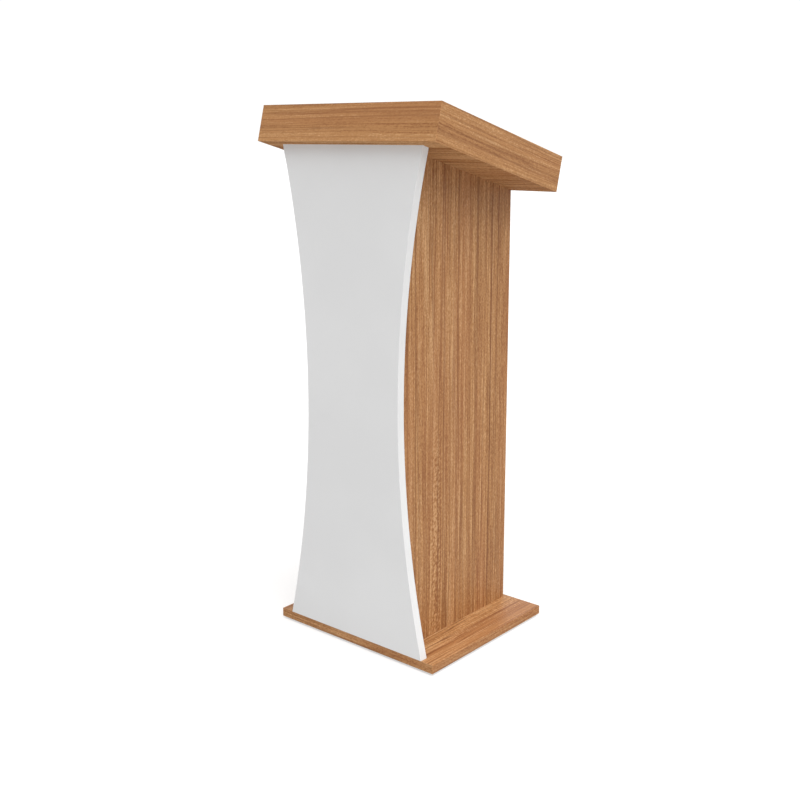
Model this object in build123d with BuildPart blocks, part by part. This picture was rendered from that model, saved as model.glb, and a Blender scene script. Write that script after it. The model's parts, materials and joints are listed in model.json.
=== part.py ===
from build123d import *

import os
from math import cos, radians, sin, tan

# A free-standing presentation lectern of laminated boards: a base board on four levelling feet,
# a narrow open-backed carcass, a waisted white front panel and a sloping, mitred desk box.
#
# Millimetres. +Z is up, +X is to the right as the audience sees it, and +Y runs from the
# audience to the speaker. The origin is on the floor, under the middle of the overall box.

# ---------------------------------------------------------------- driving dimensions

overall_height = 1200.0  # floor to the desk's upper front edge
foot_gap = 5.0  # floor to the underside of the base, feet screwed fully in

base_width = 460.0
base_length = 410.0
base_thick = 20.0

panel_end_width = 396.0  # the front panel at its head and its foot
panel_thick = 20.0

body_width = 265.0  # the carcass, and the waist of the front panel
body_setback = 13.0  # rear edge of the base behind the carcass
carcass_board = 20.0  # sides, front, top and shelves

desk_width = 500.0
desk_length = 445.0  # along the slope
desk_height = 80.0  # square to the slope
desk_slope = 14.5  # degrees, falling towards the speaker
desk_overhang = 26.0  # lower front edge of the desk ahead of the front panel
desk_board = 20.0
reading_board_thick = 18.0
reading_recess = 6.0  # the rim stands this far above the reading board
batten_width = 22.0

band = 1.0  # edge band on every cut edge that shows
arris = 0.5  # rounding of the bands' outer edges, and flat on the desk's mitred edges
shadow_gap = 0.5  # round the reading board, inside the rim

fixed_shelf_height = 420.0  # base to the shelf's upper face
loose_shelf_height = 760.0  # base to the shelf's lower face, resting on its pins
shelf_side_gap = 1.0  # each side of the loose shelf
shelf_end_gap = 2.0  # behind the carcass front

pin_hole_radius = 2.5
pin_hole_depth = 12.0
pin_pitch = 32.0
pin_rows = 9
pin_inset = 37.0  # from the front and rear edges of the side panels
pin_length = 11.0
pin_tongue = 9.0  # how far a pin reaches under the shelf
pin_tongue_width = 10.0
pin_tongue_thick = 3.0

cam_radius = 7.5
cam_back = 3.0  # how far the cam reaches past the bolt's axis
cam_reach = 24.0  # joint face to the cam's axis
cam_channel_radius = 3.8
cam_slot_length = 9.0
cam_slot_width = 1.6
cam_slot_depth = 2.5
bolt_thread_radius = 2.5
bolt_thread_length = 11.0
bolt_collar_radius = 3.8
bolt_collar_length = 1.5
bolt_shank_radius = 2.4
bolt_head_radius = 3.4
bolt_head_length = 5.5
bolt_head_chamfer = 1.0
bolt_hole_radius = 4.0

dowel_radius = 4.0
dowel_in_face = 11.0
dowel_in_edge = 18.0
dowel_chamfer = 1.0

screw_radius = 2.0
screw_head_radius = 4.0
screw_head_depth = 2.4
screw_recess_length = 4.0
screw_recess_width = 0.7
screw_recess_depth = 1.6
screw_bite = 12.0  # length of screw in the board that it holds
screw_tip = 3.0

insert_radius = 6.0
insert_length = 13.0
insert_flange_radius = 8.0
insert_flange_thick = 1.5
stud_radius = 4.0
stud_reach = 12.0  # length of stud inside the insert, foot screwed in
stud_chamfer = 1.0
foot_radius = 14.0
foot_crown_radius = 11.0
foot_thick = 4.5
foot_grip = 3.0  # depth of the stud moulded into the pad
foot_inset = 42.0  # foot centre from the edges of the base

fit = 0.05  # radial clearance of a pin, dowel or screw in its hole
hole_relief = 0.5  # a blind hole is this much deeper than what it takes

edge_margin = 55.0  # a board's end to its first cam
dowel_pitch = 32.0  # a cam to the dowel beside it
front_cam_count = 3  # up each edge of the carcass front
panel_screw_count = 4  # in each of two columns
desk_screw_count = 3  # in each of two rows

# ---------------------------------------------------------------- derived places

slope = radians(desk_slope)
base_top = foot_gap + base_thick

desk_front = -(desk_length * cos(slope) + desk_height * sin(slope)) / 2
desk_low = overall_height - desk_height * cos(slope)
desk_plane = Plane(
    origin=(0, desk_front, desk_low), x_dir=(1, 0, 0), z_dir=(0, sin(slope), cos(slope))
)
desk_up = desk_plane.z_dir
desk_down_slope = desk_plane.y_dir
desk_right = desk_plane.x_dir

base_front = desk_front + desk_overhang
base_rear = base_front + base_length
body_front = base_front + panel_thick
body_rear = base_rear - body_setback
board_rear = body_rear - band  # cut edge of the boards, under their rear bands
chamber_front = body_front + carcass_board
chamber_half = body_width / 2 - carcass_board  # half the clear width inside

shelf_top = base_top + fixed_shelf_height
shelf_low = shelf_top - carcass_board
loose_low = base_top + loose_shelf_height
loose_rear = body_rear - pin_inset / 2

reading_low = desk_height - reading_recess - reading_board_thick  # in the desk's own frame
cam_depth = carcass_board / 2 + cam_back


def under_desk(y):
    """Height of the desk's underside at depth y."""
    return desk_low - (y - desk_front) * tan(slope)


def spread(low, high, count):
    """Evenly spaced places from low to high, both included."""
    return [low + (high - low) * i / (count - 1) for i in range(count)]


# ---------------------------------------------------------------- joinery stations
#
# A station is a plane on the face where two boards meet. Its Z runs into the board that is
# drilled in its edge, and its X points to the face that the cam is let into.


def side_stations(x_dir, points):
    """Stations on the inner faces of both side panels, at (y, z) points."""
    return [
        Plane(origin=(side * chamber_half, y, z), x_dir=x_dir, z_dir=(-side, 0, 0))
        for side in (-1, 1)
        for y, z in points
    ]


def base_stations(ys):
    """Stations on the base, under the middle of both side panels."""
    return [
        Plane(
            origin=(side * (body_width - carcass_board) / 2, y, base_top),
            x_dir=(-side, 0, 0),
            z_dir=(0, 0, 1),
        )
        for side in (-1, 1)
        for y in ys
    ]


def top_point(y):
    """The middle of the carcass top's thickness at depth y."""
    return y, under_desk(y) - carcass_board / 2 / cos(slope)


shelf_ys = (chamber_front + edge_margin, board_rear - edge_margin)
base_ys = (body_front + edge_margin, board_rear - edge_margin)
front_zs = spread(base_top + edge_margin, under_desk(body_front) - 2 * edge_margin, front_cam_count)
front_y = body_front + carcass_board / 2

base_cam_stations = base_stations(base_ys)
base_dowel_stations = base_stations([base_ys[0] + dowel_pitch, base_ys[1] - dowel_pitch])

shelf_mid = shelf_low + carcass_board / 2
shelf_cam_stations = side_stations((0, 0, -1), [(y, shelf_mid) for y in shelf_ys])
shelf_dowel_stations = side_stations(
    (0, 0, -1),
    [(shelf_ys[0] + dowel_pitch, shelf_mid), (shelf_ys[1] - dowel_pitch, shelf_mid)],
)

front_cam_stations = side_stations((0, 1, 0), [(front_y, z) for z in front_zs])
front_dowel_stations = side_stations((0, 1, 0), [(front_y, z + dowel_pitch) for z in front_zs])

top_cam_stations = side_stations(-desk_up, [top_point(y) for y in shelf_ys])
top_dowel_stations = side_stations(
    -desk_up,
    [top_point(shelf_ys[0] + dowel_pitch), top_point(shelf_ys[1] - dowel_pitch)],
)

# Screws start on the face that their heads sit in, and their stations' Z runs into the work.
panel_screw_x = chamber_half / 2
panel_screw_stations = [
    Plane(origin=(x, chamber_front, z), x_dir=(1, 0, 0), z_dir=(0, -1, 0))
    for x in (-panel_screw_x, panel_screw_x)
    for z in spread(
        base_top + 2 * edge_margin,
        under_desk(chamber_front) - 2 * edge_margin,
        panel_screw_count,
    )
]
desk_screw_stations = [
    Plane(
        origin=Vector(x, y, under_desk(y)) - desk_up * carcass_board,
        x_dir=(1, 0, 0),
        z_dir=desk_up,
    )
    for x in (-panel_screw_x, panel_screw_x)
    for y in spread(chamber_front + edge_margin, board_rear - edge_margin, desk_screw_count)
]

pin_ys = (body_front + pin_inset, body_rear - pin_inset)
pin_axis_z = loose_low - pin_tongue_thick / 2
pin_hole_stations = side_stations(
    (0, 0, 1),
    [
        (y, pin_axis_z + (row - pin_rows // 2) * pin_pitch)
        for y in pin_ys
        for row in range(pin_rows)
    ],
)
pin_stations = side_stations((0, 0, 1), [(y, pin_axis_z) for y in pin_ys])

foot_places = {
    "front_left": (-base_width / 2 + foot_inset, base_front + foot_inset),
    "front_right": (base_width / 2 - foot_inset, base_front + foot_inset),
    "rear_left": (-base_width / 2 + foot_inset, base_rear - foot_inset),
    "rear_right": (base_width / 2 - foot_inset, base_rear - foot_inset),
}

# ---------------------------------------------------------------- fasteners, in a station's frame


def cam():
    """Cam lock: a disc with a channel for the bolt's head and a cross slot in its face."""
    with BuildPart() as piece:
        with BuildSketch(Plane.YZ.offset(carcass_board / 2 - cam_depth)):
            with Locations((0, cam_reach)):
                Circle(cam_radius - fit)
        extrude(amount=cam_depth)
        with BuildSketch(Plane.XY.offset(cam_reach - 2 * cam_radius)):
            Circle(cam_channel_radius)
        extrude(amount=2 * cam_radius + cam_channel_radius, mode=Mode.SUBTRACT)
        with BuildSketch(Plane.YZ.offset(carcass_board / 2)):
            with Locations((0, cam_reach)):
                Rectangle(cam_slot_length, cam_slot_width)
                Rectangle(cam_slot_width, cam_slot_length)
        extrude(amount=-cam_slot_depth, mode=Mode.SUBTRACT)
    return piece.part


def turned(points):
    """A piece turned about the station's Z, from its (radius, height) outline."""
    with BuildPart() as piece:
        with BuildSketch(Plane.XZ):
            with BuildLine():
                Polyline(*points, close=True)
            make_face()
        revolve(axis=Axis.Z)
    return piece.part


def cam_bolt():
    """Bolt that screws into one board's face and whose head the cam draws in."""
    thread = bolt_thread_radius - fit
    head_low = cam_reach - bolt_head_length / 2
    return turned(
        [
            (0, -bolt_thread_length),
            (thread, -bolt_thread_length),
            (thread, 0),
            (bolt_collar_radius, 0),
            (bolt_collar_radius, bolt_collar_length),
            (bolt_shank_radius, bolt_collar_length),
            (bolt_shank_radius, head_low),
            (bolt_head_radius, head_low + bolt_head_chamfer),
            (bolt_head_radius, head_low + bolt_head_length - bolt_head_chamfer),
            (0, head_low + bolt_head_length),
        ]
    )


def dowel():
    """Beech dowel, chamfered at both ends."""
    with BuildPart() as piece:
        with BuildSketch(Plane.XY.offset(-dowel_in_face)):
            Circle(dowel_radius - fit)
        extrude(amount=dowel_in_face + dowel_in_edge)
        chamfer(piece.edges().filter_by(GeomType.CIRCLE), length=dowel_chamfer)
    return piece.part


def drilled(radius, depth):
    """A blind hole's volume, from the station's face along its Z. A negative depth goes back."""
    relief = hole_relief if depth > 0 else -hole_relief
    with BuildPart() as piece:
        with BuildSketch(Plane.XY):
            Circle(radius)
        extrude(amount=depth + relief)
    return piece.part


def cam_pocket():
    """What a cam and its bolt remove from the board that is drilled in its edge."""
    with BuildPart() as piece:
        with BuildSketch(Plane.YZ.offset(carcass_board / 2)):
            with Locations((0, cam_reach)):
                Circle(cam_radius)
        extrude(amount=-(cam_depth + hole_relief))
        with BuildSketch(Plane.XY):
            Circle(bolt_hole_radius)
        extrude(amount=cam_reach)
    return piece.part


def screw(length):
    """Countersunk wood screw with a cross recess, its head flush with the station's face."""
    shank = screw_radius - fit
    with BuildPart() as piece:
        add(
            turned(
                [
                    (0, 0),
                    (screw_head_radius - fit, 0),
                    (shank, screw_head_depth - fit),
                    (shank, length - screw_tip),
                    (0, length),
                ]
            )
        )
        with BuildSketch(Plane.XY):
            Rectangle(screw_recess_length, screw_recess_width)
            Rectangle(screw_recess_width, screw_recess_length)
        extrude(amount=screw_recess_depth, mode=Mode.SUBTRACT)
    return piece.part


def screw_hole(length):
    """The countersunk hole of a screw, as deep as the screw is long, and a little more."""
    return turned(
        [
            (0, 0),
            (screw_head_radius, 0),
            (screw_radius, screw_head_depth),
            (screw_radius, length + hole_relief),
            (0, length + hole_relief),
        ]
    )


def shelf_pin():
    """Shelf pin: a peg in the side panel, with a flat tongue under the shelf."""
    with BuildPart() as piece:
        with BuildSketch(Plane.XY.offset(-pin_length)):
            Circle(pin_hole_radius - fit)
        extrude(amount=pin_length)
        with BuildSketch(Plane.XY):
            Rectangle(pin_tongue_thick, pin_tongue_width)
        extrude(amount=pin_tongue)
    return piece.part


def placed(piece, stations):
    """One copy of a fastener at each station."""
    with BuildPart() as group:
        with Locations(*stations):
            add(piece)
    return group


panel_screw_length = carcass_board + screw_bite
desk_screw_length = carcass_board + screw_bite

bolt_face_hole = drilled(bolt_thread_radius, -bolt_thread_length)
dowel_face_hole = drilled(dowel_radius, -dowel_in_face)
dowel_edge_hole = drilled(dowel_radius, dowel_in_edge)
pin_hole = drilled(pin_hole_radius, -pin_hole_depth)

base_cams = placed(cam(), base_cam_stations)
shelf_cams = placed(cam(), shelf_cam_stations)
front_cams = placed(cam(), front_cam_stations)
top_cams = placed(cam(), top_cam_stations)

base_cam_bolts = placed(cam_bolt(), base_cam_stations)
shelf_cam_bolts = placed(cam_bolt(), shelf_cam_stations)
front_cam_bolts = placed(cam_bolt(), front_cam_stations)
top_cam_bolts = placed(cam_bolt(), top_cam_stations)

base_dowels = placed(dowel(), base_dowel_stations)
shelf_dowels = placed(dowel(), shelf_dowel_stations)
front_dowels = placed(dowel(), front_dowel_stations)
top_dowels = placed(dowel(), top_dowel_stations)

panel_screws = placed(screw(panel_screw_length), panel_screw_stations)
desk_screws = placed(screw(desk_screw_length), desk_screw_stations)
shelf_pins = placed(shelf_pin(), pin_stations)

# ---------------------------------------------------------------- base

with BuildPart() as base_board:
    with BuildSketch(Plane.XY.offset(foot_gap)):
        with Locations((0, (base_front + base_rear) / 2)):
            Rectangle(base_width - 2 * band, base_length - 2 * band)
    extrude(amount=base_thick)
    with Locations(*base_cam_stations):
        add(bolt_face_hole, mode=Mode.SUBTRACT)
    with Locations(*base_dowel_stations):
        add(dowel_face_hole, mode=Mode.SUBTRACT)
    with BuildSketch(Plane.XY.offset(foot_gap)):
        with Locations(*foot_places.values()):
            Circle(insert_radius)
    extrude(amount=insert_length + hole_relief, mode=Mode.SUBTRACT)
    with BuildSketch(Plane.XY.offset(foot_gap)):
        with Locations(*foot_places.values()):
            Circle(insert_flange_radius)
    extrude(amount=insert_flange_thick, mode=Mode.SUBTRACT)


def base_band(centre, size):
    """Edge band of the base, square-edged, from its centre and its size in plan."""
    with BuildPart() as piece:
        with BuildSketch(Plane.XY.offset(foot_gap)):
            with Locations(centre):
                Rectangle(*size)
        extrude(amount=base_thick)
    return piece.part


base_middle = (base_front + base_rear) / 2
base_band_x = (base_width - band) / 2
side_band_size = (band, base_length - 2 * band)

with BuildPart() as base_band_front:
    add(base_band((0, base_front + band / 2), (base_width, band)))
    glued = base_band_front.faces().sort_by(Axis.Y)[-1]
    fillet(base_band_front.edges() - glued.edges(), radius=arris)

with BuildPart() as base_band_rear:
    add(base_band((0, base_rear - band / 2), (base_width, band)))
    glued = base_band_rear.faces().sort_by(Axis.Y)[0]
    fillet(base_band_rear.edges() - glued.edges(), radius=arris)

with BuildPart() as base_band_left:
    add(base_band((-base_band_x, base_middle), side_band_size))
    outer = base_band_left.faces().sort_by(Axis.X)[0]
    fillet(outer.edges().filter_by(Axis.Y), radius=arris)

with BuildPart() as base_band_right:
    add(base_band((base_band_x, base_middle), side_band_size))
    outer = base_band_right.faces().sort_by(Axis.X)[-1]
    fillet(outer.edges().filter_by(Axis.Y), radius=arris)

# ---------------------------------------------------------------- levelling feet

with BuildPart() as foot_inserts:
    with BuildSketch(Plane.XY.offset(foot_gap)):
        with Locations(*foot_places.values()):
            Circle(insert_flange_radius - fit)
    extrude(amount=insert_flange_thick)
    with BuildSketch(Plane.XY.offset(foot_gap)):
        with Locations(*foot_places.values()):
            Circle(insert_radius - fit)
    extrude(amount=insert_length)
    with BuildSketch(Plane.XY.offset(foot_gap)):
        with Locations(*foot_places.values()):
            Circle(stud_radius)
    extrude(amount=insert_length, mode=Mode.SUBTRACT)


def foot_pad(place):
    """Moulded pad, bevelled to its crown, with a socket for the stud."""
    with BuildPart() as piece:
        with BuildSketch(Plane.XY):
            with Locations(place):
                Circle(foot_radius)
        extrude(amount=foot_thick)
        chamfer(
            piece.edges().filter_by(GeomType.CIRCLE).sort_by(Axis.Z)[-1],
            length=foot_thick / 2,
            length2=foot_radius - foot_crown_radius,
        )
        with BuildSketch(Plane.XY.offset(foot_thick)):
            with Locations(place):
                Circle(stud_radius)
        extrude(amount=-foot_grip, mode=Mode.SUBTRACT)
    return piece


def foot_stud(place):
    """Steel stud, moulded into the pad and screwed into the base's insert."""
    with BuildPart() as piece:
        with BuildSketch(Plane.XY.offset(foot_thick - foot_grip)):
            with Locations(place):
                Circle(stud_radius - fit)
        extrude(amount=foot_grip + foot_gap - foot_thick + stud_reach)
        chamfer(
            piece.edges().filter_by(GeomType.CIRCLE).sort_by(Axis.Z)[-1],
            length=stud_chamfer,
        )
    return piece


foot_pads = {f"foot_pad_{corner}": foot_pad(p) for corner, p in foot_places.items()}
foot_studs = {f"foot_stud_{corner}": foot_stud(p) for corner, p in foot_places.items()}

# ---------------------------------------------------------------- carcass


def upright(x_low, thickness, y_front, y_rear):
    """An upright board or band, from the base to the desk's underside."""
    with BuildPart() as piece:
        with BuildSketch(Plane.YZ.offset(x_low)):
            with BuildLine():
                Polyline(
                    (y_front, base_top),
                    (y_rear, base_top),
                    (y_rear, under_desk(y_rear)),
                    (y_front, under_desk(y_front)),
                    close=True,
                )
            make_face()
        extrude(amount=thickness)
    return piece.part


def side_panel(x_low):
    """Side panel, drilled for its cams, bolts, dowels and shelf pins."""
    with BuildPart() as piece:
        add(upright(x_low, carcass_board, body_front, board_rear))
        with Locations(*base_cam_stations):
            add(cam_pocket(), mode=Mode.SUBTRACT)
        with Locations(*base_dowel_stations):
            add(dowel_edge_hole, mode=Mode.SUBTRACT)
        with Locations(*shelf_cam_stations, *front_cam_stations, *top_cam_stations):
            add(bolt_face_hole, mode=Mode.SUBTRACT)
        with Locations(*shelf_dowel_stations, *front_dowel_stations, *top_dowel_stations):
            add(dowel_face_hole, mode=Mode.SUBTRACT)
        with Locations(*pin_hole_stations):
            add(pin_hole, mode=Mode.SUBTRACT)
    return piece


side_panel_left = side_panel(-body_width / 2)
side_panel_right = side_panel(chamber_half)

with BuildPart() as side_band_left:
    add(upright(-body_width / 2, carcass_board, board_rear, body_rear))
    outer = side_band_left.faces().sort_by(Axis.Y)[-1]
    fillet(outer.edges().filter_by(Axis.Z), radius=arris)

with BuildPart() as side_band_right:
    add(upright(chamber_half, carcass_board, board_rear, body_rear))
    outer = side_band_right.faces().sort_by(Axis.Y)[-1]
    fillet(outer.edges().filter_by(Axis.Z), radius=arris)

with BuildPart() as carcass_front:
    add(upright(-chamber_half, 2 * chamber_half, body_front, chamber_front))
    with Locations(*front_cam_stations):
        add(cam_pocket(), mode=Mode.SUBTRACT)
    with Locations(*front_dowel_stations):
        add(dowel_edge_hole, mode=Mode.SUBTRACT)
    with Locations(*panel_screw_stations):
        add(screw_hole(panel_screw_length), mode=Mode.SUBTRACT)


def sloping_board(y_front, y_rear):
    """The carcass top or its band: a board under the desk, cut plumb at both ends."""
    drop = carcass_board / cos(slope)
    with BuildPart() as piece:
        with BuildSketch(Plane.YZ.offset(-chamber_half)):
            with BuildLine():
                Polyline(
                    (y_front, under_desk(y_front)),
                    (y_rear, under_desk(y_rear)),
                    (y_rear, under_desk(y_rear) - drop),
                    (y_front, under_desk(y_front) - drop),
                    close=True,
                )
            make_face()
        extrude(amount=2 * chamber_half)
    return piece.part


with BuildPart() as carcass_top:
    add(sloping_board(chamber_front, board_rear))
    with Locations(*top_cam_stations):
        add(cam_pocket(), mode=Mode.SUBTRACT)
    with Locations(*top_dowel_stations):
        add(dowel_edge_hole, mode=Mode.SUBTRACT)
    with Locations(*desk_screw_stations):
        add(screw_hole(desk_screw_length), mode=Mode.SUBTRACT)

with BuildPart() as carcass_top_band:
    add(sloping_board(board_rear, body_rear))
    outer = carcass_top_band.faces().sort_by(Axis.Y)[-1]
    fillet(outer.edges().filter_by(Axis.X).sort_by(Axis.Z)[0], radius=arris)


def level_board(half_width, y_front, y_rear, z_low):
    """A shelf or its band, centred between the side panels."""
    with BuildPart() as piece:
        with BuildSketch(Plane.XY.offset(z_low)):
            with Locations((0, (y_front + y_rear) / 2)):
                Rectangle(2 * half_width, y_rear - y_front)
        extrude(amount=carcass_board)
    return piece.part


with BuildPart() as fixed_shelf:
    add(level_board(chamber_half, chamber_front, board_rear, shelf_low))
    with Locations(*shelf_cam_stations):
        add(cam_pocket(), mode=Mode.SUBTRACT)
    with Locations(*shelf_dowel_stations):
        add(dowel_edge_hole, mode=Mode.SUBTRACT)

with BuildPart() as fixed_shelf_band:
    add(level_board(chamber_half, board_rear, body_rear, shelf_low))
    outer = fixed_shelf_band.faces().sort_by(Axis.Y)[-1]
    fillet(outer.edges().filter_by(Axis.X), radius=arris)

loose_half = chamber_half - shelf_side_gap
with BuildPart() as loose_shelf:
    add(level_board(loose_half, chamber_front + shelf_end_gap, loose_rear - band, loose_low))

with BuildPart() as loose_shelf_band:
    add(level_board(loose_half, loose_rear - band, loose_rear, loose_low))
    outer = loose_shelf_band.faces().sort_by(Axis.Y)[-1]
    fillet(outer.edges().filter_by(Axis.X), radius=arris)

# ---------------------------------------------------------------- front panel

panel_top = under_desk(base_front)
panel_waist_z = (base_top + panel_top) / 2
front_panel_plane = Plane.XZ.offset(-body_front)  # its rear face


def panel_edge(side, inset):
    """One waisted edge of the panel, from its foot to its head, inset from the finished edge."""
    end = side * (panel_end_width / 2 - inset)
    waist = side * (body_width / 2 - inset)
    return ThreePointArc((end, base_top), (waist, panel_waist_z), (end, panel_top))


with BuildPart() as front_panel:
    with BuildSketch(front_panel_plane):
        with BuildLine():
            left = panel_edge(-1, band)
            right = panel_edge(1, band)
            Line(left @ 0, right @ 0)
            Line(left @ 1, right @ 1)
        make_face()
    extrude(amount=panel_thick)
    split(bisect_by=desk_plane, keep=Keep.BOTTOM)
    with Locations(*panel_screw_stations):
        add(screw_hole(panel_screw_length), mode=Mode.SUBTRACT)


def panel_band(side):
    """Edge band that follows one waisted edge of the panel."""
    with BuildPart() as piece:
        with BuildSketch(front_panel_plane):
            with BuildLine():
                outer = panel_edge(side, 0)
                inner = panel_edge(side, band)
                Line(outer @ 0, inner @ 0)
                Line(outer @ 1, inner @ 1)
            make_face()
        extrude(amount=panel_thick)
        split(bisect_by=desk_plane, keep=Keep.BOTTOM)
        curved = piece.faces().filter_by(GeomType.CYLINDER).sort_by(Axis.X)
        chamfer(curved[-1 if side > 0 else 0].edges().filter_by(GeomType.CIRCLE), length=arris)
    return piece


panel_band_left = panel_band(-1)
panel_band_right = panel_band(1)

# ---------------------------------------------------------------- desk box


def mitred_board(face, width, height, mitred_head):
    """A desk board, mitred at both ends and at its foot, and at its head if it joins one there.

    face is the plane of its outer face, with its origin at the middle of the foot.
    """
    edges = [((-width / 2, 0), -face.x_dir), ((width / 2, 0), face.x_dir), ((0, 0), -face.y_dir)]
    if mitred_head:
        edges.append(((0, height), face.y_dir))
    with BuildPart() as piece:
        with BuildSketch(face):
            with Locations((0, height / 2)):
                Rectangle(width, height)
        extrude(amount=-desk_board)
        for place, outward in edges:
            corner = face.from_local_coords((*place, 0))
            bisector = outward + face.z_dir
            mitre = Plane(origin=corner, z_dir=outward - face.z_dir)
            eased = Plane(origin=corner - bisector * arris / 2, z_dir=bisector)
            split(bisect_by=mitre, keep=Keep.BOTTOM)
            split(bisect_by=eased, keep=Keep.BOTTOM)
    return piece.part


def desk_point(x, y, z=0.0):
    """A point in the desk's own frame, as a global one."""
    return desk_plane.from_local_coords((x, y, z))


def desk_face(x, y, outward):
    """The plane of a fascia's outer face, with its Y square to the slope."""
    return Plane(origin=desk_point(x, y), x_dir=desk_up.cross(outward), z_dir=outward)


fascia_height = desk_height - band

desk_underside = Plane(origin=desk_point(0, desk_length), x_dir=desk_right, z_dir=-desk_up)

with BuildPart() as desk_bottom:
    add(mitred_board(desk_underside, desk_width, desk_length, True))
    with Locations(*desk_screw_stations):
        add(screw_hole(desk_screw_length), mode=Mode.SUBTRACT)

with BuildPart() as desk_fascia_front:
    add(mitred_board(desk_face(0, 0, -desk_down_slope), desk_width, fascia_height, False))

with BuildPart() as desk_fascia_rear:
    add(mitred_board(desk_face(0, desk_length, desk_down_slope), desk_width, fascia_height, False))

with BuildPart() as desk_fascia_left:
    face = desk_face(-desk_width / 2, desk_length / 2, -desk_right)
    add(mitred_board(face, desk_length, fascia_height, False))

with BuildPart() as desk_fascia_right:
    face = desk_face(desk_width / 2, desk_length / 2, desk_right)
    add(mitred_board(face, desk_length, fascia_height, False))


def rim_corners(inset):
    """The rim's corners in the desk's frame: front left, front right, rear right, rear left."""
    half = desk_width / 2 - inset
    return [
        (-half, inset),
        (half, inset),
        (half, desk_length - inset),
        (-half, desk_length - inset),
    ]


def rim_band(index):
    """The band on one fascia's upper edge, mitred to its neighbours."""
    outer, inner = rim_corners(0), rim_corners(desk_board)
    after = (index + 1) % 4
    with BuildPart() as piece:
        with BuildSketch(desk_plane.offset(fascia_height)):
            with BuildLine():
                Polyline(outer[index], outer[after], inner[after], inner[index], close=True)
            make_face()
        extrude(amount=band)
        upper = piece.faces().sort_by(Axis((0, 0, 0), desk_up))[-1]
        along = Axis((0, 0, 0), desk_down_slope if index % 2 else desk_right)
        fillet(upper.edges().filter_by(along), radius=arris)
    return piece


rim_bands = {
    f"rim_band_{edge}": rim_band(index)
    for index, edge in enumerate(("front", "right", "rear", "left"))
}

with BuildPart() as reading_board:
    with BuildSketch(desk_plane.offset(reading_low)):
        with Locations((0, desk_length / 2)):
            Rectangle(
                desk_width - 2 * (desk_board + shadow_gap),
                desk_length - 2 * (desk_board + shadow_gap),
            )
    extrude(amount=reading_board_thick)


def desk_batten(x):
    """A batten from the desk bottom to the reading board, between front and rear fascias."""
    with BuildPart() as piece:
        with BuildSketch(desk_plane.offset(desk_board)):
            with Locations((x, desk_length / 2)):
                Rectangle(batten_width, desk_length - 2 * desk_board)
        extrude(amount=reading_low - desk_board)
    return piece


batten_x = (desk_width - batten_width) / 2 - desk_board
desk_batten_left = desk_batten(-batten_x)
desk_batten_centre = desk_batten(0)
desk_batten_right = desk_batten(batten_x)

# ---------------------------------------------------------------- files

pieces = {
    "base_board": base_board,
    "base_band_front": base_band_front,
    "base_band_rear": base_band_rear,
    "base_band_left": base_band_left,
    "base_band_right": base_band_right,
    "foot_inserts": foot_inserts,
    **foot_pads,
    **foot_studs,
    "side_panel_left": side_panel_left,
    "side_panel_right": side_panel_right,
    "side_band_left": side_band_left,
    "side_band_right": side_band_right,
    "carcass_front": carcass_front,
    "carcass_top": carcass_top,
    "carcass_top_band": carcass_top_band,
    "fixed_shelf": fixed_shelf,
    "fixed_shelf_band": fixed_shelf_band,
    "loose_shelf": loose_shelf,
    "loose_shelf_band": loose_shelf_band,
    "shelf_pins": shelf_pins,
    "front_panel": front_panel,
    "panel_band_left": panel_band_left,
    "panel_band_right": panel_band_right,
    "panel_screws": panel_screws,
    "desk_bottom": desk_bottom,
    "desk_fascia_front": desk_fascia_front,
    "desk_fascia_rear": desk_fascia_rear,
    "desk_fascia_left": desk_fascia_left,
    "desk_fascia_right": desk_fascia_right,
    **rim_bands,
    "reading_board": reading_board,
    "desk_batten_left": desk_batten_left,
    "desk_batten_centre": desk_batten_centre,
    "desk_batten_right": desk_batten_right,
    "desk_screws": desk_screws,
    "base_cams": base_cams,
    "base_cam_bolts": base_cam_bolts,
    "base_dowels": base_dowels,
    "shelf_cams": shelf_cams,
    "shelf_cam_bolts": shelf_cam_bolts,
    "shelf_dowels": shelf_dowels,
    "front_cams": front_cams,
    "front_cam_bolts": front_cam_bolts,
    "front_dowels": front_dowels,
    "top_cams": top_cams,
    "top_cam_bolts": top_cam_bolts,
    "top_dowels": top_dowels,
}

os.makedirs("parts", exist_ok=True)
for label, piece in pieces.items():
    piece.part.label = label
    export_step(piece.part, f"parts/{label}.step")
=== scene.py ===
import json
from math import asin, pi, radians

import bmesh
import bpy
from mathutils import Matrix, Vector


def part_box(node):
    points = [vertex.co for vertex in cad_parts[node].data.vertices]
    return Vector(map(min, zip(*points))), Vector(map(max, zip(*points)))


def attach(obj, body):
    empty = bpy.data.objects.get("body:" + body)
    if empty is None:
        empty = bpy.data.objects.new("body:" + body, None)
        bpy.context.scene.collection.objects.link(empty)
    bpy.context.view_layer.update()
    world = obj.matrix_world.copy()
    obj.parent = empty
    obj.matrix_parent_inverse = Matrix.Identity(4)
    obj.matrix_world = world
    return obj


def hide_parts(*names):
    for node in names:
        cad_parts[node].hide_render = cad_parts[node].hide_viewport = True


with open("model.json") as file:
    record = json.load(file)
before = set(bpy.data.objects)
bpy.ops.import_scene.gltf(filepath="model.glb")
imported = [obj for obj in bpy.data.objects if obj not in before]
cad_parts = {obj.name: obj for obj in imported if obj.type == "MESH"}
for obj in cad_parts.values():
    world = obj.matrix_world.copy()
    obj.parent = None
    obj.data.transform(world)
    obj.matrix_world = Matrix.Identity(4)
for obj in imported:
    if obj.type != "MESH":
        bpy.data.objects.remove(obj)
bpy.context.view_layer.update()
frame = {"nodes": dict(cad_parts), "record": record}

# A free-standing presentation lectern: a wooden desk box and base, a white waisted front panel and a
# wooden carcass that is open to the speaker. Metres, +Z up, the audience on the -Y side.

nodes = frame["nodes"]
MM = 0.001

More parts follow.
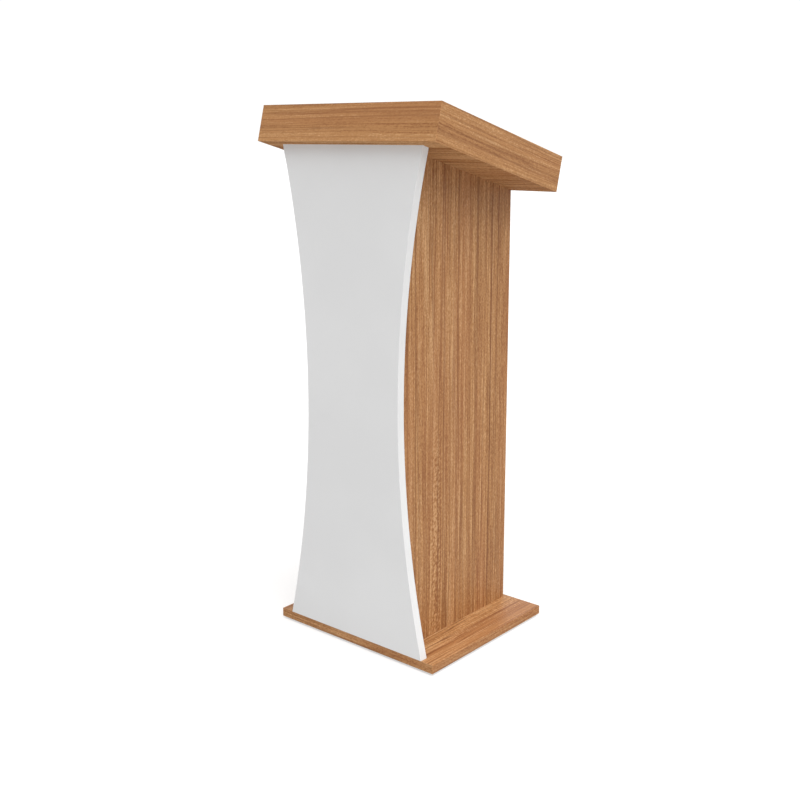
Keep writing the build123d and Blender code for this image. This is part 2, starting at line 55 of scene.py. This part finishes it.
mounts = {mount["name"]: mount for mount in frame["record"]["mounts"]}
DESK_UP = Vector(mounts["reading_surface"]["axis"])
DOWN_SLOPE = Vector((0, DESK_UP.z, -DESK_UP.y))
SLOPE = asin(DESK_UP.y)
ACROSS = Vector((1, 0, 0))
DEPTH = Vector((0, 1, 0))
UP = Vector((0, 0, 1))

# Turns that bring a board's grain onto Z.
UPRIGHT = (0, 0, 0)
CROSSWISE = (0, -pi / 2, 0)
LENGTHWISE = (pi / 2, 0, 0)
SLOPING = (pi / 2 + SLOPE, 0, 0)


# ---------------------------------------------------------------- shader nodes


class Wire:
    """A shader node's output. Arithmetic on it adds Math nodes to its tree."""

    def __init__(self, tree, output=None):
        self.tree = tree
        self.output = output

    def feed(self, node, key):
        """Links this output to a socket of a node."""
        self.tree.links.new(self.output, node.inputs[key])

    def add(self, kind, settings=(), sockets=(), output=0):
        """Adds a node of any kind: its settings first, then its sockets' values or links."""
        node = self.tree.nodes.new(kind)
        for name, value in dict(settings).items():
            setattr(node, name, value)
        for key, value in dict(sockets).items():
            if isinstance(value, Wire):
                value.feed(node, key)
            else:
                node.inputs[key].default_value = value
        return Wire(self.tree, node.outputs[output])

    def math(self, operation, *values):
        return self.add("ShaderNodeMath", {"operation": operation}, enumerate(values))

    def __add__(self, other):
        return self.math("ADD", self, other)

    def __radd__(self, other):
        return self.math("ADD", other, self)

    def __sub__(self, other):
        return self.math("SUBTRACT", self, other)

    def __rsub__(self, other):
        return self.math("SUBTRACT", other, self)

    def __mul__(self, other):
        return self.math("MULTIPLY", self, other)

    def __rmul__(self, other):
        return self.math("MULTIPLY", other, self)

    def __abs__(self):
        return self.math("ABSOLUTE", self)


def vector(operation, a, b, output="Vector"):
    """Vector Math on a wire and a wire or a fixed vector."""
    return a.add("ShaderNodeVectorMath", {"operation": operation}, {0: a, 1: b}, output)


def along(place, direction):
    """How far a place lies along a direction."""
    return vector("DOT_PRODUCT", place, direction, "Value")


def rise(value, low, high):
    """0 up to low, 1 from high on, and a smooth rise between. With high below low it falls instead."""
    return value.add(
        "ShaderNodeMapRange",
        {"interpolation_type": "SMOOTHSTEP"},
        {"Value": value, "From Min": low, "From Max": high},
    )


def mix(factor, a, b):
    """A colour between a and b, by the Mix node's colour sockets."""
    settings = {"data_type": "RGBA", "blend_type": "MIX", "clamp_factor": True}
    return factor.add("ShaderNodeMix", settings, {0: factor, 6: a, 7: b}, 2)


def noise(place, scale, detail=2.0, roughness=0.5, output=0):
    """Noise around 0.5. A scale of three numbers stretches it along the axes."""
    if not isinstance(scale, (int, float)):
        place = vector("MULTIPLY", place, scale)
        scale = 1.0
    sockets = {"Vector": place, "Scale": scale, "Detail": detail, "Roughness": roughness}
    return place.add("ShaderNodeTexNoise", {}, sockets, output)


def shade(red, green, blue):
    """A linear colour from display values of 0 to 255."""
    return (*[(value / 255) ** 2.2 for value in (red, green, blue)], 1)


def grey(value):
    """A linear grey from a display value of 0 to 255."""
    return shade(value, value, value)


def material(name, turn=UPRIGHT, **constants):
    """A Principled material, with a wire of its turned Object coordinates and one of the plain ones."""
    made = bpy.data.materials.new(name)
    made.use_nodes = True
    shader = made.node_tree.nodes["Principled BSDF"]
    for socket, value in constants.items():
        shader.inputs[socket.replace("_", " ")].default_value = value
    start = Wire(made.node_tree)
    plain = start.add("ShaderNodeTexCoord", output="Object")
    turned = start.add("ShaderNodeMapping", {}, {"Vector": plain, "Rotation": turn})
    return made, turned, plain


def paint(made, colour, rough, height, depth, metallic=None):
    """Links what varies over the surface. depth is the bump's height in metres."""
    shader = made.node_tree.nodes["Principled BSDF"]
    bump = height.add("ShaderNodeBump", {}, {"Distance": depth, "Height": height})
    colour.feed(shader, "Base Color")
    rough.feed(shader, "Roughness")
    bump.feed(shader, "Normal")
    if metallic is not None:
        metallic.feed(shader, "Metallic")
    return made


# ---------------------------------------------------------------- finishes

WOOD_DEEP = shade(116, 71, 42)
WOOD_DARK = shade(148, 98, 61)
WOOD_MID = shade(181, 131, 85)
WOOD_LIGHT = shade(212, 165, 118)
WOOD_RED = shade(160, 96, 61)
CORE_DARK = shade(150, 118, 80)
CORE_LIGHT = shade(214, 184, 138)
BEECH_DARK = shade(196, 156, 112)
BEECH_LIGHT = shade(226, 192, 150)
BEECH_FLECK = shade(150, 104, 66)
LAMINATE = 0.9 * MM  # thickness of the wood pattern over a board's chipboard core


def streaky(grain, across, lengthwise, detail=1, roughness=0.5, output=0):
    """Noise drawn out along the grain. Its scale is in repeats to the metre, across and lengthwise."""
    return noise(grain, (across, across, lengthwise), detail, roughness, output)


def patches(grain, across, lengthwise, low, high):
    """Soft-edged patches along the grain, which spread as low and high come down."""
    return rise(streaky(grain, across, lengthwise), low, high)


def veins(grain, across, lengthwise, outer, inner=0.0):
    """Lines along the grain, full strength up to inner from their middles and gone at outer."""
    return rise(abs(streaky(grain, across, lengthwise, 0) - 0.5), outer, inner)


def off_plane(place, direction, level):
    """Distance from the plane at a level along a direction."""
    return abs(along(place, direction) - level)


def wander(grain):
    """Bends the grain sideways, in slow curves and in small waves."""
    for across, lengthwise, reach in ((5, 1.6, 18 * MM), (60, 12, 2 * MM)):
        drift = streaky(grain, across, lengthwise, output="Color")
        drift = vector("SUBTRACT", drift, (0.5, 0.5, 0.5))
        grain = vector("ADD", grain, vector("MULTIPLY", drift, (reach, reach, 0)))
    return grain


def curly_figure(grain, plain, curl):
    """Short slanting waves, in one column that fades out towards its top, or in scattered patches."""
    if curl:
        depth, half, top = curl
        column = rise(off_plane(plain, DEPTH, depth), half, 0.3 * half)
        curly = column * rise(along(plain, UP), top, 0.7 * top)
    else:
        curly = patches(grain, 9, 1.3, 0.58, 0.72) * 0.4
    slanted = grain.add("ShaderNodeMapping", {}, {"Vector": grain, "Rotation": (0.6, 0.6, 0)})
    waves = noise(slanted, (190, 190, 110), 1)
    return curly * (waves - 0.5) * 2.6


def dark_lines(grain, colour, lines, ribs):
    """A colour under dark swathes, growth lines and hair lines along the grain, and under ribs."""
    swathes = patches(grain, 44, 0.5, 0.56, 0.72)
    growth = veins(grain, 30, 0.5, 0.035, 0.004) * patches(grain, 12, 1.6, 0.38, 0.58)
    hairs = veins(grain, 88, 0.7, 0.06) * patches(grain, 30, 3, 0.4, 0.6)
    colour = mix(swathes * (0.5 * lines), colour, WOOD_DARK)
    colour = mix(growth * (0.55 * lines), colour, WOOD_DEEP)
    colour = mix(hairs * (0.4 * lines), colour, WOOD_DEEP)
    if ribs:
        colour = mix(veins(grain, 115, 0.35, 0.07) * ribs, colour, WOOD_DEEP)
    return colour


def chipboard(place):
    """Colour and height of pressed wood chips."""
    flake = place.add("ShaderNodeTexVoronoi", {}, {"Vector": place, "Scale": 420}, "Color")
    value = flake.add("ShaderNodeSeparateColor", {}, {"Color": flake})
    grit = noise(place, 900, 3)
    colour = mix(value * 0.7 + grit * 0.3, CORE_DARK, CORE_LIGHT)
    return colour, value + grit


def wood(
    name,
    turn,
    tone=0.0,
    red=0.0,
    contrast=1.0,
    lines=1.0,
    ribs=0.0,
    gloss=0.22,
    matt=0.46,
    streaks=(),
    curl=None,
    board=None,
):
    """Satin laminate with a straight-grained wood pattern, whose grain follows the turned Z.

    tone lightens it, red warms it, contrast spreads its tones, lines sets how strong the dark lines
    are, and ribs adds close thin ones. gloss is its specular level and matt its roughness. streaks
    are dark too, each a (depth, half width, strength). curl is the (depth, half width, top) of a
    column of curly figure. board is the (normal, middle, half thickness) of a board whose chipboard
    core shows in its cuts.
    """
    made, grain, plain = material(name, turn, Specular_IOR_Level=gloss)
    grain = wander(grain)
    broad = streaky(grain, 24, 0.6)
    medium = streaky(grain, 95, 1.2, 2)
    fine = streaky(grain, 250, 5, 2, 0.6)
    ticks = streaky(grain, 430, 110)
    speckle = streaky(grain, 300, 200)
    pores = patches(grain, 1300, 60, 0.58, 0.68)

    weights = ((broad, 0.8), (medium, 1.4), (fine, 2.2), (ticks, 1.1), (speckle, 1.3))
    figure = sum((layer - 0.5) * weight for layer, weight in weights)
    value = figure * contrast + (0.5 + tone) + curly_figure(grain, plain, curl)

    colour = mix(rise(value, -0.1, 0.5), WOOD_DARK, WOOD_MID)
    colour = mix(rise(value, 0.5, 1.1), colour, WOOD_LIGHT)
    colour = dark_lines(grain, colour, lines, ribs)
    warm = patches(grain, 15, 0.9, 0.45, 0.65)
    colour = mix(warm * 0.2 + red, colour, WOOD_RED)
    colour = mix(pores * 0.3, colour, WOOD_DEEP)
    for depth, half, strength in streaks:
        ragged = off_plane(plain, DEPTH, depth) + (medium - 0.5) * (half * 2) + (fine - 0.5) * half
        worn = rise(ragged, half, 0.3 * half) * (0.6 + broad * 0.8) * strength
        colour = mix(worn, colour, WOOD_DEEP)

    rough = matt + (fine - 0.5) * 0.25 + (noise(plain, 7, 3) - 0.5) * 0.16
    height = fine * 0.6 + ticks * 0.4 - pores * 0.6
    if board:
        normal, middle, half = board
        inside = half - off_plane(plain, normal, middle)
        core = rise(inside, LAMINATE, 1.3 * LAMINATE)
        core_colour, core_height = chipboard(plain)
        colour = mix(core, colour, core_colour)
        rough = rough + core * 0.4
        height = height + core * core_height * 2
    return paint(made, colour, rough, height, depth=0.05 * MM)


def white_laminate(name):
    """Satin white laminate, very faintly uneven."""
    made, place, _ = material(name)
    cloud = noise(place, 3, 3)
    grit = noise(place, 700, 2)
    colour = mix(rise(cloud, 0.35, 0.65), grey(227), grey(231))
    colour = mix(rise(grit, 0.62, 0.75) * 0.25, colour, grey(222))
    rough = 0.38 + (cloud - 0.5) * 0.14 + (grit - 0.5) * 0.08
    return paint(made, colour, rough, grit, depth=0.02 * MM)


def white_band(name):
    """White plastic edge band, milled lengthwise."""
    made, place, _ = material(name)
    milling = noise(place, (260, 260, 18), 2)
    cloud = noise(place, 9, 2)
    colour = mix(milling, grey(228), shade(236, 236, 235))
    colour = mix(rise(cloud, 0.55, 0.7) * 0.2, colour, shade(218, 218, 217))
    rough = 0.4 + (milling - 0.5) * 0.2
    return paint(made, colour, rough, milling, depth=0.02 * MM)


def raw_board(name):
    """Bare chipboard."""
    made, place, _ = material(name)
    colour, height = chipboard(place)
    rough = 0.82 + (noise(place, 30, 2) - 0.5) * 0.2
    return paint(made, colour, rough, height, depth=0.2 * MM)


def beech(name):
    """Turned beech, pale with short dark flecks."""
    made, place, _ = material(name)
    figure = noise(place, 90, 3)
    fleck = noise(place, 900, 1)
    colour = mix(figure, BEECH_DARK, BEECH_LIGHT)
    colour = mix(rise(fleck, 0.62, 0.7) * 0.6, colour, BEECH_FLECK)
    rough = 0.6 + (figure - 0.5) * 0.2
    return paint(made, colour, rough, fleck, depth=0.05 * MM)


def metal(name, dull, bright, rough):
    """Metal with a faintly clouded, finely scratched surface."""
    made, place, _ = material(name)
    cloud = noise(place, 160, 3)
    scratch = noise(place, (3000, 300, 300), 2)
    colour = mix(cloud, dull, bright)
    metallic = 1 - rise(cloud, 0.62, 0.8) * 0.12
    rough = rough + (cloud - 0.5) * 0.2 + (scratch - 0.5) * 0.15
    return paint(made, colour, rough, scratch + cloud, depth=0.02 * MM, metallic=metallic)


def moulded(name):
    """Black moulded plastic with a fine spark texture and scuffs."""
    made, place, _ = material(name)
    spark = noise(place, 2200, 2)
    scuff = rise(noise(place, (90, 90, 400), 3), 0.56, 0.7)
    colour = mix(scuff, shade(28, 28, 29), grey(66))
    rough = 0.5 + scuff * 0.2 + (spark - 0.5) * 0.2
    return paint(made, colour, rough, spark, depth=0.05 * MM)


def span(node, normal):
    """Middle and half thickness of a node along a direction."""
    depths = [vertex.co.dot(normal) for vertex in nodes[node].data.vertices]
    return (min(depths) + max(depths)) / 2, (max(depths) - min(depths)) / 2


def finish(node, made):
    """Gives a node its one material."""
    nodes[node].data.materials.clear()
    nodes[node].data.materials.append(made)


def depth_of(share):
    """Depth of a share of the side panel's width, from its front edge."""
    low, high = (corner.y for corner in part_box("side_panel_right"))
    return low + share * (high - low)


side_streaks = [
    (depth_of(share), half * MM, strength)
    for share, half, strength in (
        (0.1, 3, 0.45),
        (0.36, 2.5, 0.45),
        (0.49, 3, 0.35),
        (0.67, 9, 0.3),
        (0.82, 2.5, 0.6),
        (0.88, 2.5, 0.5),
    )
]
side_curl = (depth_of(0.3), 24 * MM, 600 * MM)
side_look = {
    "contrast": 0.9,
    "lines": 0.75,
    "ribs": 0.3,
    "streaks": side_streaks,
    "curl": side_curl,
}
base_look = {"tone": 0.18, "contrast": 0.6, "lines": 0.35, "ribs": 0.8}
underside_look = {"gloss": 0.05, "matt": 0.8, "tone": 0.22, "red": 0.1}
level_look = {"contrast": 0.5, "lines": 0.7, "ribs": 0.35}
sloping_look = {"contrast": 0.7, "lines": 0.9, "ribs": 0.35}

# Each board's grain, the direction of its thickness and its look.
boards = {
    "base_board": (LENGTHWISE, UP, base_look),
    "side_panel_left": (UPRIGHT, ACROSS, {}),
    "side_panel_right": (UPRIGHT, ACROSS, side_look),
    "carcass_front": (UPRIGHT, DEPTH, {}),
    "carcass_top": (CROSSWISE, DESK_UP, {}),
    "fixed_shelf": (CROSSWISE, UP, {}),
    "loose_shelf": (CROSSWISE, UP, {}),
    "desk_bottom": (CROSSWISE, DESK_UP, underside_look),
    "desk_fascia_front": (CROSSWISE, DOWN_SLOPE, {**level_look, "tone": 0.05}),
    "desk_fascia_rear": (CROSSWISE, DOWN_SLOPE, level_look),
    "desk_fascia_left": (SLOPING, ACROSS, sloping_look),
    "desk_fascia_right": (SLOPING, ACROSS, sloping_look),
    "reading_board": (CROSSWISE, DESK_UP, {}),
}
for node, (turn, normal, look) in boards.items():
    finish(node, wood(f"{node}_laminate", turn, board=(normal, *span(node, normal)), **look))

edge_bands = {
    UPRIGHT: wood("upright_edge_band", UPRIGHT, tone=-0.05),
    CROSSWISE: wood("crosswise_edge_band", CROSSWISE, tone=-0.05),
    LENGTHWISE: wood("lengthwise_edge_band", LENGTHWISE, tone=-0.05),
    SLOPING: wood("sloping_edge_band", SLOPING, tone=-0.05),
}
band_turns = {
    "side_band_left": UPRIGHT,
    "side_band_right": UPRIGHT,
    "carcass_top_band": CROSSWISE,
    "fixed_shelf_band": CROSSWISE,
    "loose_shelf_band": CROSSWISE,
    "rim_band_front": CROSSWISE,
    "rim_band_rear": CROSSWISE,
    "rim_band_left": SLOPING,
    "rim_band_right": SLOPING,
}
for node, turn in band_turns.items():
    finish(node, edge_bands[turn])

panel_white = white_laminate("white_satin_laminate")
band_white = white_band("white_edge_band")
chip_core = raw_board("bare_chipboard")
dowel_beech = beech("turned_beech")
cam_zinc = metal("cast_nickelled_zinc", dull=shade(150, 150, 152), bright=grey(190), rough=0.42)
bright_zinc = metal(
    "bright_zinc_plate", dull=shade(168, 172, 178), bright=shade(206, 208, 212), rough=0.3
)
pad_plastic = moulded("black_moulded_plastic")

finish("front_panel", panel_white)
for node in nodes:
    if node.startswith("panel_band"):
        finish(node, band_white)
    elif node.startswith("desk_batten"):
        finish(node, chip_core)
    elif node.endswith("dowels"):
        finish(node, dowel_beech)

# ---------------------------------------------------------------- fasteners, feet and base bands

MERGE = 0.001 * MM  # vertices nearer than this are one
FLAT_ANGLE = radians(1)  # faces within this of each other are one
EASED_ANGLE = radians(32)  # edges sharper than this are rounded
CREASE_ANGLE = radians(20)  # and edges sharper than this shade as creases
PAD_RIBS = 30
RIB_MARGIN = 0.3 * MM
RIB_DEPTH = 0.45 * MM
STUD_SOCKET = 4 * MM  # radius of the hole for the stud in a pad
DISH = 0.5 * MM  # how far the pad's crown is sunk round the stud
THREAD_PITCH = 1.25 * MM
THREAD_DEPTH = 0.55 * MM
THREAD_STEPS = 20  # to a turn
THREAD_SLIVER = 0.02 * MM  # edges shorter than this are dissolved where a thread is cut off


def piece(name, shape, body, replaced, made):
    """Makes an object of a finished bmesh, in place of a CAD node."""
    bmesh.ops.recalc_face_normals(shape, faces=shape.faces)
    mesh = bpy.data.meshes.new(name)
    shape.to_mesh(mesh)
    shape.free()
    stale_normals = mesh.attributes.get("custom_normal")
    if stale_normals:
        mesh.attributes.remove(stale_normals)
    mesh.shade_smooth()
    mesh.set_sharp_from_angle(angle=CREASE_ANGLE)
    mesh.materials.append(made)
    thing = bpy.data.objects.new(name, mesh)
    bpy.context.collection.objects.link(thing)
    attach(thing, body)
    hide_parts(replaced)


def is_sharp(edge):
    """Whether an edge between two faces is sharp enough to be rounded."""
    return len(edge.link_faces) == 2 and edge.calc_face_angle() > EASED_ANGLE


def eased_copy(node, width):
    """A node's shape, its loose triangles joined and its sharp edges rounded."""
    shape = bmesh.new()
    shape.from_mesh(nodes[node].data)
    bmesh.ops.remove_doubles(shape, verts=shape.verts, dist=MERGE)
    bmesh.ops.dissolve_limit(
        shape, angle_limit=FLAT_ANGLE, verts=shape.verts, edges=shape.edges
    )
    bmesh.ops.bevel(
        shape,
        geom=[edge for edge in shape.edges if is_sharp(edge)],
        offset=width,
        offset_type="OFFSET",
        segments=2,
        profile=0.5,
        affect="EDGES",
        clamp_overlap=True,
        material=-1,
    )
    return shape


def chain(shape, points):
    """Adds a line of vertices and the edges between them, and returns both."""
    line = [shape.verts.new(point) for point in points]
    return line + [shape.edges.new(pair) for pair in zip(line, line[1:])]


def ribbed_pad(node):
    """Moulded foot pad: a dished crown round the stud and finger grips round the rim."""
    low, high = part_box(node)
    centre = (low + high) / 2
    radius = (high.x - low.x) / 2
    top = high.z
    outline = [
        (0, 0),
        (radius - 0.9 * MM, 0),
        (radius, 0.6 * MM),
        (radius, 0.5 * top),
        (0.8 * radius, top - 0.2 * MM),
        (0.76 * radius, top),
        (0.45 * radius, top),
        (0.4 * radius, top - DISH),
        (STUD_SOCKET, top - DISH),
        (STUD_SOCKET, top / 3),
        (0, top / 3),
    ]
    shape = bmesh.new()
    profile = chain(shape, [(centre.x + out, centre.y, height) for out, height in outline])
    bmesh.ops.spin(
        shape, geom=profile, cent=centre, axis=UP, angle=2 * pi, steps=2 * PAD_RIBS, use_merge=True
    )
    bmesh.ops.remove_doubles(shape, verts=shape.verts, dist=MERGE)

    def outward(face):
        return (face.calc_center_median() - centre).xy

    rim = [face for face in shape.faces if abs(face.normal.z) < 0.1]
    rim = [face for face in rim if outward(face).length > 0.95 * radius]
    rim.sort(key=lambda face: outward(face).angle_signed(ACROSS.xy))
    bmesh.ops.inset_individual(shape, faces=rim[::2], thickness=RIB_MARGIN, depth=-RIB_DEPTH)
    return shape


def threaded_stud(node):
    """Threaded rod over a node's whole height."""
    low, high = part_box(node)
    centre = (low + high) / 2
    crest = (high.x - low.x) / 2
    root = crest - THREAD_DEPTH
    turns = int((high.z - low.z) / THREAD_PITCH) + 3
    start = low.z - THREAD_PITCH
    tooth = [(root, 0), (crest, 0.42), (crest, 0.58), (root, 1)]  # radius and share of the pitch
    shape = bmesh.new()
    profile = chain(
        shape, [(centre.x + out, centre.y, start + share * THREAD_PITCH) for out, share in tooth]
    )
    bmesh.ops.spin(
        shape,
        geom=profile,
        cent=centre,
        axis=UP,
        dvec=UP * (THREAD_PITCH / THREAD_STEPS),
        angle=2 * pi * turns,
        steps=THREAD_STEPS * turns,
    )
    bmesh.ops.remove_doubles(shape, verts=shape.verts, dist=MERGE)
    for height, outward in ((low.z, -UP), (high.z, UP)):
        everything = [*shape.verts, *shape.edges, *shape.faces]
        plane = {"plane_co": (0, 0, height), "plane_no": outward, "clear_outer": True}
        bmesh.ops.bisect_plane(shape, geom=everything, **plane)
    bmesh.ops.dissolve_degenerate(shape, edges=shape.edges, dist=THREAD_SLIVER)
    bmesh.ops.holes_fill(shape, edges=[edge for edge in shape.edges if edge.is_boundary])
    return shape


for corner in ("front_left", "front_right", "rear_left", "rear_right"):
    body = f"foot_{corner}"
    pad = ribbed_pad(f"foot_pad_{corner}")
    piece(f"ribbed_pad_{corner}", pad, body, f"foot_pad_{corner}", pad_plastic)
    stud = threaded_stud(f"foot_stud_{corner}")
    piece(f"threaded_stud_{corner}", stud, body, f"foot_stud_{corner}", bright_zinc)

for place in ("base", "shelf", "front", "top"):
    node = f"{place}_cams"
    piece(f"{place}_cam_locks", eased_copy(node, 0.2 * MM), "cabinet", node, cam_zinc)

for node, name, easing in (
    ("base_cam_bolts", "base_locking_bolts", 0.1 * MM),
    ("shelf_cam_bolts", "shelf_locking_bolts", 0.1 * MM),
    ("front_cam_bolts", "front_locking_bolts", 0.1 * MM),
    ("top_cam_bolts", "top_locking_bolts", 0.1 * MM),
    ("panel_screws", "panel_countersunk_screws", 0.08 * MM),
    ("desk_screws", "desk_countersunk_screws", 0.08 * MM),
    ("shelf_pins", "loose_shelf_pins", 0.3 * MM),
    ("foot_inserts", "flanged_foot_inserts", 0.25 * MM),
):
    piece(name, eased_copy(node, easing), "cabinet", node, bright_zinc)

for side, turn in (
    ("front", CROSSWISE),
    ("rear", CROSSWISE),
    ("left", LENGTHWISE),
    ("right", LENGTHWISE),
):
    node = f"base_band_{side}"
    band = eased_copy(node, 0.1 * MM)
    piece(f"eased_base_band_{side}", band, "cabinet", node, edge_bands[turn])

# ---------------------------------------------------------------- floor, light and camera

FLOOR_REACH = 40
FLOOR_GREY = 0.56
FLOOR_GLOW = 0.5  # added to the floor for the camera alone, so that it looks pale and lights nothing
BACKDROP = 1.05  # what the camera sees behind the lectern: plain white
ROOM_LIGHT = 0.58


def studio_floor():
    """A wide pale floor."""
    shape = bmesh.new()
    bmesh.ops.create_grid(shape, x_segments=1, y_segments=1, size=FLOOR_REACH)
    mesh = bpy.data.meshes.new("floor")
    shape.to_mesh(mesh)
    shape.free()
    floor = bpy.data.objects.new("floor", mesh)
    bpy.context.collection.objects.link(floor)
    made = bpy.data.materials.new("pale_floor")
    made.use_nodes = True
    tree = made.node_tree
    shader = tree.nodes["Principled BSDF"]
    shader.inputs["Base Color"].default_value = (FLOOR_GREY, FLOOR_GREY, FLOOR_GREY, 1)
    shader.inputs["Roughness"].default_value = 0.9
    shader.inputs["Specular IOR Level"].default_value = 0.1
    seen = Wire(tree).add("ShaderNodeLightPath")
    glow = seen.add("ShaderNodeEmission", {}, {"Color": grey(255), "Strength": seen * FLOOR_GLOW})
    both = glow.add("ShaderNodeAddShader", {}, {0: Wire(tree, shader.outputs[0]), 1: glow})
    both.feed(tree.nodes["Material Output"], "Surface")
    mesh.materials.append(made)


def studio_world():
    """An even white room: plain white to the camera, and dimmer as light."""
    world = bpy.data.worlds.new("white_room")
    world.use_nodes = True
    bpy.context.scene.world = world
    background = world.node_tree.nodes["Background"]
    background.inputs["Color"].default_value = grey(255)
    seen = Wire(world.node_tree).add("ShaderNodeLightPath")
    strength = seen * (BACKDROP - ROOM_LIGHT) + ROOM_LIGHT
    strength.feed(background, "Strength")


def soft_light(name, strength, towards, angle):
    """A broad distant light that shines along a direction."""
    data = bpy.data.lights.new(name, "SUN")
    data.energy = strength
    data.angle = angle
    light = bpy.data.objects.new(name, data)
    light.rotation_euler = Vector(towards).to_track_quat("-Z", "Y").to_euler()
    bpy.context.collection.objects.link(light)


def camera(place, yaw, pitch, lens, shift):
    """A camera at a place, turned yaw to the left of +Y and pitch below level."""
    data = bpy.data.cameras.new("camera")
    data.lens = lens
    data.sensor_width = 36
    data.shift_y = shift
    data.dof.use_dof = False
    made = bpy.data.objects.new("camera", data)
    made.location = place
    made.rotation_euler = (pi / 2 - pitch, 0, yaw)
    bpy.context.collection.objects.link(made)
    bpy.context.scene.camera = made


studio_floor()
studio_world()
soft_light("key_light", strength=2.45, towards=(-0.5, 0.24, -0.83), angle=radians(70))
soft_light("rear_light", strength=0.5, towards=(0.25, -0.85, -0.4), angle=radians(60))
camera(
    place=(1.6094, -1.9206, 1.1348),
    yaw=radians(40.51),
    pitch=radians(11.39),
    lens=50.2,
    shift=-0.05,
)
bpy.context.scene.view_settings.view_transform = "Standard"

bpy.context.view_layer.update()
